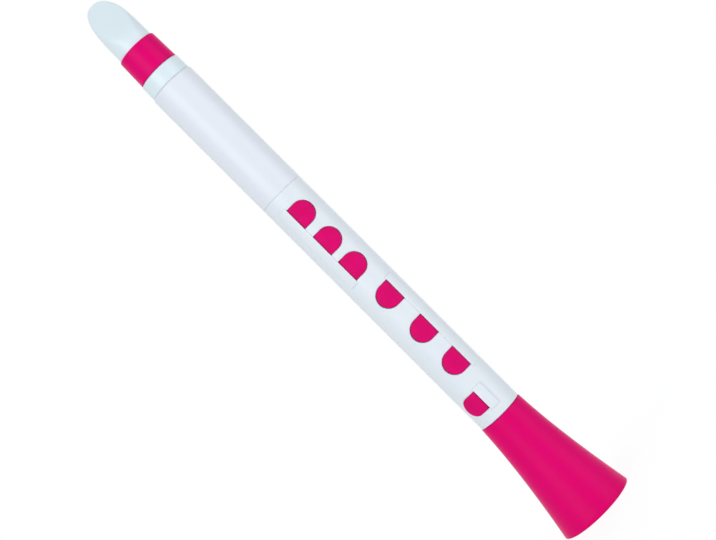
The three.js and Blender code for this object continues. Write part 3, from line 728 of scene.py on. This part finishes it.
shelf_side, shelf_front = SHELF_HALF_WIDTH - SHELF_CORNER, SHELF_CORNER - SHELF_REACH
shelf_outline = [
    (SHELF_HALF_WIDTH, -SHELF_ROOT),
    *arc(shelf_side, shelf_front, SHELF_CORNER, 0, -90, 8),
    *arc(-shelf_side, shelf_front, SHELF_CORNER, -90, -180, 8),
    (-SHELF_HALF_WIDTH, -SHELF_ROOT),
]
shelf = prism("shelf", [(x, y, SHELF_FOOT) for x, y in shelf_outline], (0, 0, SHELF_TOP - SHELF_FOOT))
choose(shelf, "EDGE", round_the_shelf)
bevel_chosen(SHELF_EDGE, 4)
fillet_outline = [
    (-SHELF_ROOT, SHELF_FOOT + FILLET_LAP),
    (-FILLET_REACH, SHELF_FOOT + FILLET_LAP),
    *arc(-FILLET_REACH, SHELF_FOOT - FILLET, FILLET, 90, 0, 10),
    (-SHELF_ROOT, SHELF_FOOT - FILLET),
]
fillet_side = [(-FILLET_HALF_WIDTH, y, z) for y, z in fillet_outline]
fillet = prism("fillet", fillet_side, (2 * FILLET_HALF_WIDTH, 0, 0))
combine(rest, shelf, "UNION")
combine(rest, fillet, "UNION")
swing(rest, 180)
smooth(rest)
rest.data.materials.append(white_plastic)
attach(rest, "body")
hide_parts("thumb_rest")

# Barrel
# A plain white tube with a socket at each end, between the body and the mouthpiece.
# It is pulled out a little to tune the clarinet.
BARREL_FOOT, BARREL_TOP = 222.56, 300.0
BARREL_TOP_EDGE = 0.8

barrel_outline = [
    *arc(TUBE - SEAM_EDGE, BARREL_FOOT + SEAM_EDGE, SEAM_EDGE, 270, 360, 5),
    *lengthwise(TUBE, BARREL_FOOT + SEAM_EDGE, BARREL_TOP - BARREL_TOP_EDGE, 6)[1:-1],
    *arc(TUBE - BARREL_TOP_EDGE, BARREL_TOP - BARREL_TOP_EDGE, BARREL_TOP_EDGE, 0, 90, 8),
    (SOCKET + CHAMFER, BARREL_TOP),
    (SOCKET, BARREL_TOP - CHAMFER),
    (SOCKET, BARREL_TOP - TENON_LENGTH),
    (BORE, BARREL_TOP - TENON_LENGTH),
    (BORE, BARREL_FOOT + TENON_LENGTH),
    (SOCKET, BARREL_FOOT + TENON_LENGTH),
    (SOCKET, BARREL_FOOT + CHAMFER),
    (SOCKET + CHAMFER, BARREL_FOOT),
]
barrel = turned("barrel_tube", [(r, 0, z) for r, z in barrel_outline])
smooth(barrel)
barrel_plastic = moulded(
    "white_barrel_plastic",
    colour=(0.81, 0.845, 0.91),
    clouded=(0.785, 0.825, 0.895),
    worn=(0.86, 0.89, 0.92),
    roughness=0.36,
    gloss=0.35,
    flow=(1, 1, 0.2),
    edge=0.3,
)
barrel.data.materials.append(barrel_plastic)
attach(barrel, "barrel_section")
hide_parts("barrel")

# Mouthpiece
# A hard white moulding: tenon, collar, a slightly tapered shank for the ligature and a beak that slopes to
# the tip. Behind, a flat table, bent away near the tip, takes the reed over a long window into the bore.
COLLAR = 12.0
COLLAR_SEAT = 300.06
COLLAR_FOOT, COLLAR_TOP = 300.3, 308.7
COLLAR_EDGE = 0.6
SHANK = 10.45
TAPER = 0.006
BEAK_FOOT, TIP = 331.3, 357.0
TIP_DEPTH = 4.4
TABLE = 6.4
LAY_FOOT = 340.0
LAY_BEND = 1.1
BEAK_FULLNESS = 2.5
SHANK_SECTIONS, BEAK_SECTIONS = 8, 26
SECTION_POINTS = 80
SECTION_CRISPNESS = 20
BORE_START = 283.0
THROAT = 4.9
CHAMBER_HALF = 4.2
CHAMBER_FOOT, ROOF_FOOT = 304.5, 319.8
ROOF_TIP = 4.85
WINDOW_HALF_WIDTH = 4.0
WINDOW_SILL, WINDOW_FOOT, WINDOW_TOP = 323.3, 326.3, 354.8
WINDOW_END = 12.8


def shank_radius(level):
    """The tapered shank's radius at a level."""
    return SHANK - TAPER * (level - COLLAR_TOP)


def beak_section(level):
    """The shank or beak at a level: an oval with rounded flats, the slope in front and the table behind."""
    foot_radius = shank_radius(BEAK_FOOT)
    deep = shank_radius(level)
    front = -foot_radius + (level - BEAK_FOOT) * (TIP_DEPTH + foot_radius) / (TIP - BEAK_FOOT)
    back = TABLE - LAY_BEND * (max(0, level - LAY_FOOT) / (TIP - LAY_FOOT)) ** 2
    up_beak = max(0, level - BEAK_FOOT) / (TIP - BEAK_FOOT)
    rounded = (1 - up_beak**BEAK_FULLNESS) ** (1 / BEAK_FULLNESS)
    width = foot_radius * rounded if up_beak else deep
    wide = width / math.sqrt(1 - (max(0, front) / deep) ** 2)
    middle = (max(front, -deep) + back) / 2
    half = (back - max(front, -deep)) / 2
    points = []
    for i in range(SECTION_POINTS):
        angle = math.tau * i / SECTION_POINTS
        x, y = wide * math.cos(angle), half * math.sin(angle)
        square, product = (x / wide) ** 2 + (y / deep) ** 2, middle * y / deep**2
        # How far a ray from the middle goes to the oval and to the flat, and a rounded corner between them
        reaches = [(math.sqrt(product**2 - square * ((middle / deep) ** 2 - 1)) - product) / square]
        if abs(y) > NEAR:
            reaches.append(((back if y > 0 else front) - middle) / y)
        reach = sum(r**-SECTION_CRISPNESS for r in reaches) ** (-1 / SECTION_CRISPNESS)
        points.append((x * reach, middle + y * reach, level))
    return points


def loft(name, sections):
    """Bridges closed outlines, one above the other, and closes both ends."""
    lines = []
    for section in sections:
        lines.append(draw(name, section))
        bpy.ops.object.mode_set(mode="OBJECT")
    skin = join(lines)
    bpy.ops.object.mode_set(mode="EDIT")
    bpy.ops.mesh.select_all(action="SELECT")
    bpy.ops.mesh.bridge_edge_loops()
    bpy.ops.mesh.select_all(action="SELECT")
    bpy.ops.mesh.fill_holes(sides=0)
    bpy.ops.mesh.select_all(action="SELECT")
    bpy.ops.mesh.normals_make_consistent(inside=False)
    bpy.ops.object.mode_set(mode="OBJECT")
    return skin


collar_outline = [
    (0, COLLAR_FOOT - TENON_LENGTH),
    *tenon(COLLAR_FOOT, -1)[:0:-1],
    (TENON, COLLAR_SEAT),
    *arc(COLLAR - COLLAR_EDGE, COLLAR_SEAT + COLLAR_EDGE, COLLAR_EDGE, 270, 360, 6),
    *arc(COLLAR - COLLAR_EDGE, COLLAR_TOP - COLLAR_EDGE, COLLAR_EDGE, 0, 90, 5),
    (0, COLLAR_TOP),
]
mouthpiece = turned("mouthpiece_beak", [(r, 0, z) for r, z in collar_outline])
shank_start = COLLAR_TOP - 1
levels = [shank_start + i * (BEAK_FOOT - shank_start) / SHANK_SECTIONS for i in range(SHANK_SECTIONS)]
# The beak's sections crowd together towards the tip, where it rounds off
levels += [TIP - (TIP - BEAK_FOOT) * (1 - i / BEAK_SECTIONS) ** 3 for i in range(BEAK_SECTIONS)]
combine(mouthpiece, loft("beak", [beak_section(z) for z in levels]), "UNION")
bore_outline = [
    (0, BORE_START),
    (BORE, BORE_START),
    (BORE, COLLAR_FOOT - TENON_LENGTH),
    (THROAT, COLLAR_TOP),
    (0, COLLAR_TOP),
]
combine(mouthpiece, turned("bore", [(r, 0, z) for r, z in bore_outline]), "DIFFERENCE")
chamber_outline = [
    (WINDOW_END, WINDOW_TOP),
    (ROOF_TIP, WINDOW_TOP),
    (-CHAMBER_HALF, ROOF_FOOT),
    (-CHAMBER_HALF, CHAMBER_FOOT),
    (CHAMBER_HALF, CHAMBER_FOOT),
    (CHAMBER_HALF, WINDOW_SILL),
    (TABLE, WINDOW_FOOT),
    (WINDOW_END, WINDOW_FOOT),
]
chamber_side = [(-WINDOW_HALF_WIDTH, y, z) for y, z in chamber_outline]
combine(mouthpiece, prism("chamber", chamber_side, (2 * WINDOW_HALF_WIDTH, 0, 0)), "DIFFERENCE")
smooth(mouthpiece)
mouthpiece_plastic = moulded(
    "white_mouthpiece_plastic",
    colour=(0.765, 0.868, 0.92),
    clouded=(0.74, 0.848, 0.905),
    worn=(0.83, 0.895, 0.935),
    roughness=0.3,
    gloss=0.4,
    flow=(1, 1, 0.4),
    edge=0.3,
)
mouthpiece.data.materials.append(mouthpiece_plastic)
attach(mouthpiece, "mouthpiece_section")
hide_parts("mouthpiece")

# Reed
# A strip of off-white plastic cut like a cane reed: flat on the table, rounded behind, thinned to its tip.
# Fine lengthwise grain shows where it has been scraped.
REED_GAP = 0.15
REED_FLAT = TABLE + REED_GAP
REED_HEEL, REED_TIP = 309.5, 356.5
REED_HALF_WIDTH = 6.0
REED_THICKNESS = 2.9
REED_TIP_THICKNESS = 0.35
REED_BARK = 18.0
VAMP_HOLLOW, VAMP_RUN = 0.85, 9.0
REED_ROUND_END = 9.5
REED_END_STEPS = 32
REED_CUT = 16

vamp_start = (REED_FLAT + REED_THICKNESS, REED_HEEL + REED_BARK)
vamp_pull = (REED_FLAT + VAMP_HOLLOW, REED_TIP - VAMP_RUN)
reed_profile = [
    (REED_FLAT, REED_HEEL),
    (REED_FLAT + REED_THICKNESS, REED_HEEL),
    *curve(vamp_start, vamp_pull, (REED_FLAT + REED_TIP_THICKNESS, REED_TIP), 16),
    (REED_FLAT, REED_TIP),
]
reed_side = [(-REED_HALF_WIDTH, y, z) for y, z in reed_profile]
reed = prism("reed_blade", reed_side, (2 * REED_HALF_WIDTH, 0, 0))
reed_back = [(0, COLLAR_TOP), (SHANK, COLLAR_TOP), (shank_radius(TIP), TIP), (0, TIP)]
combine(reed, turned("reed_back", [(r, 0, z) for r, z in reed_back]), "INTERSECT")
reed_front = [(-REED_HALF_WIDTH, REED_HEEL - 1), (REED_HALF_WIDTH, REED_HEEL - 1)]
for i in range(REED_END_STEPS + 1):
    angle = math.pi * i / REED_END_STEPS
    across, up_end = REED_HALF_WIDTH * math.cos(angle), REED_ROUND_END * math.sin(angle)
    reed_front.append((across, REED_TIP - REED_ROUND_END + up_end))
combine(reed, prism("reed_front", [(x, 0, z) for x, z in reed_front], (0, REED_CUT, 0)), "INTERSECT")
smooth(reed)
reed_plastic, reed_tree, reed_shader, reed_place = new_finish("off_white_reed_plastic")
fibres = mottle(reed_tree, drawn_out(reed_tree, reed_place, (1, 1, 0.03)), scale=2400, detail=4)
grain = two_tone(reed_tree, fibres, (0.74, 0.71, 0.62), (0.86, 0.84, 0.77))
reed_tree.links.new(grain, reed_shader.inputs["Base Color"])
embossed(reed_tree, reed_shader, fibres, strength=0.3, depth=0.03)
reed_shader.inputs["Roughness"].default_value = 0.5
reed.data.materials.append(reed_plastic)
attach(reed, "mouthpiece_section")
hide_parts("reed")

# Ligature
# A tapered band of magenta plastic that slides down over the tip and wedges the reed against the table.
# Its lower edge flares slightly and its upper edge is rounded off.
LIGATURE_FOOT, LIGATURE_TOP = 309.0, 325.0
BAND_FOOT, BAND_TOP = 10.745, 10.457
BAND_FOOT_WALL, BAND_MIDDLE_WALL, BAND_TOP_WALL = 0.85, 0.72, 0.75
BAND_FOOT_EDGE = 0.25
BAND_FLARE = 4.0
BAND_TOP_EDGE = 0.9
BAND_TOP_FLAT = 0.25

flare_foot = (BAND_FOOT + BAND_FOOT_WALL, LIGATURE_FOOT + BAND_FOOT_EDGE)
flare_pull = (BAND_FOOT + BAND_MIDDLE_WALL, LIGATURE_FOOT + BAND_FLARE)
shoulder = (BAND_TOP + BAND_TOP_WALL, LIGATURE_TOP - BAND_TOP_EDGE)
shoulder_pull = (BAND_TOP + BAND_MIDDLE_WALL, LIGATURE_TOP)
foot_corner = (flare_foot[0] - BAND_FOOT_EDGE, flare_foot[1])
band_outline = [
    (BAND_FOOT, LIGATURE_FOOT),
    *arc(*foot_corner, BAND_FOOT_EDGE, 270, 360, 4),
    *curve(flare_foot, flare_pull, shoulder, 8)[1:],
    *curve(shoulder, shoulder_pull, (BAND_TOP + BAND_TOP_FLAT, LIGATURE_TOP), 6)[1:],
    (BAND_TOP, LIGATURE_TOP),
]
ligature = turned("ligature_band_ring", [(r, 0, z) for r, z in band_outline])
smooth(ligature)
ligature.data.materials.append(magenta_plastic)
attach(ligature, "ligature_band")
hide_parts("ligature")

# Floor and light
# A plain white studio: a floor that keeps the shadow, a white surround, and large soft lamps.
# Both look white straight on and in reflections, while the lamps light the clarinet at a plain level.
FLOOR_RADIUS = 0.6
FLOOR_GLOW = 1.07
FLOOR_GLOW_SHARE = 0.8


def seen_as_white(tree):
    """1 for rays that see the background directly, in a reflection or through glass."""
    ray = tree.nodes.new("ShaderNodeLightPath")
    seen = ray.outputs["Is Camera Ray"]
    for kind in ("Is Glossy Ray", "Is Transmission Ray"):
        either = tree.nodes.new("ShaderNodeMath")
        either.operation = "MAXIMUM"
        tree.links.new(seen, either.inputs[0])
        tree.links.new(ray.outputs[kind], either.inputs[1])
        seen = either.outputs["Value"]
    return seen


bpy.ops.object.select_all(action="DESELECT")
bpy.ops.mesh.primitive_circle_add(vertices=96, radius=FLOOR_RADIUS, fill_type="NGON", location=(0, 0, 0))
floor = bpy.context.object
floor.name = "floor"
floor_paint = bpy.data.materials.new("white_floor")
floor_paint.use_nodes = True
floor_tree = floor_paint.node_tree
floor_tree.nodes.remove(floor_tree.nodes["Principled BSDF"])
matt = floor_tree.nodes.new("ShaderNodeBsdfDiffuse")
matt.inputs["Color"].default_value = (0.9, 0.9, 0.9, 1)
glow = floor_tree.nodes.new("ShaderNodeEmission")
glow.inputs["Strength"].default_value = FLOOR_GLOW
share = floor_tree.nodes.new("ShaderNodeMath")
share.operation = "MULTIPLY"
share.inputs[1].default_value = FLOOR_GLOW_SHARE
floor_tree.links.new(seen_as_white(floor_tree), share.inputs[0])
paint = floor_tree.nodes.new("ShaderNodeMixShader")
floor_tree.links.new(share.outputs["Value"], paint.inputs["Fac"])
floor_tree.links.new(matt.outputs["BSDF"], paint.inputs[1])
floor_tree.links.new(glow.outputs["Emission"], paint.inputs[2])
floor_tree.links.new(paint.outputs["Shader"], floor_tree.nodes["Material Output"].inputs["Surface"])
floor.data.materials.append(floor_paint)

world = bpy.data.worlds.new("studio")
bpy.context.scene.world = world
world.use_nodes = True
world_tree = world.node_tree
surround = world_tree.nodes["Background"]
surround.inputs["Color"].default_value = (0.93, 0.96, 1.0, 1)
surround.inputs["Strength"].default_value = 0.5
backdrop = world_tree.nodes.new("ShaderNodeBackground")
backdrop.inputs["Color"].default_value = (1, 1, 1, 1)
backdrop.inputs["Strength"].default_value = 1
sky = world_tree.nodes.new("ShaderNodeMixShader")
world_tree.links.new(seen_as_white(world_tree), sky.inputs["Fac"])
world_tree.links.new(surround.outputs["Background"], sky.inputs[1])
world_tree.links.new(backdrop.outputs["Background"], sky.inputs[2])
world_tree.links.new(sky.outputs["Shader"], world_tree.nodes["World Output"].inputs["Surface"])

# Each lamp's place in metres and its power in watts
LAMPS = {
    "front_left": ((-0.75, -1.0, 0.55), 7.2),
    "front_right": ((0.95, -0.8, 0.3), 4.2),
    "back": ((0.3, 1.1, 0.7), 6.5),
}
LAMP_SIZE = 0.9
LAMP_AIM = Vector((0, 0, 0.17))
for name, (lamp_place, power) in LAMPS.items():
    bpy.ops.object.light_add(type="AREA", location=lamp_place)
    lamp = bpy.context.object
    lamp.name = name
    lamp.data.size = LAMP_SIZE
    lamp.data.energy = power
    lamp.rotation_euler = (LAMP_AIM - Vector(lamp_place)).to_track_quat("-Z", "Y").to_euler()
    # Seen along the tube, the lamp behind would break up its edge with glints
    lamp.visible_glossy = name != "back"

# Camera
# Level with the middle of the clarinet and a little to one side.
# It is rolled so that the tube runs from corner to corner, and a pixel of the photo is half a millimetre.
PHOTO_WIDTH = 716
PIXEL = 0.5 * MM
SENSOR = 36
DISTANCE = 0.78
AIM = Vector((0, 0, 0.1685))
AZIMUTH = math.radians(-5.8)
away = Vector((math.sin(AZIMUTH), -math.cos(AZIMUTH), 0))
level_right = Vector((math.cos(AZIMUTH), math.sin(AZIMUTH), 0))
right = (level_right - Vector((0, 0, 1))).normalized()
up = (level_right + Vector((0, 0, 1))).normalized()
bpy.ops.object.camera_add(location=AIM + away * DISTANCE)
camera = bpy.context.object
camera.rotation_euler = Matrix((right, up, away)).transposed().to_euler()
camera.data.sensor_width = SENSOR
camera.data.lens = SENSOR * DISTANCE / (PHOTO_WIDTH * PIXEL)
bpy.context.scene.camera = camera
bpy.context.scene.view_settings.view_transform = "Standard"
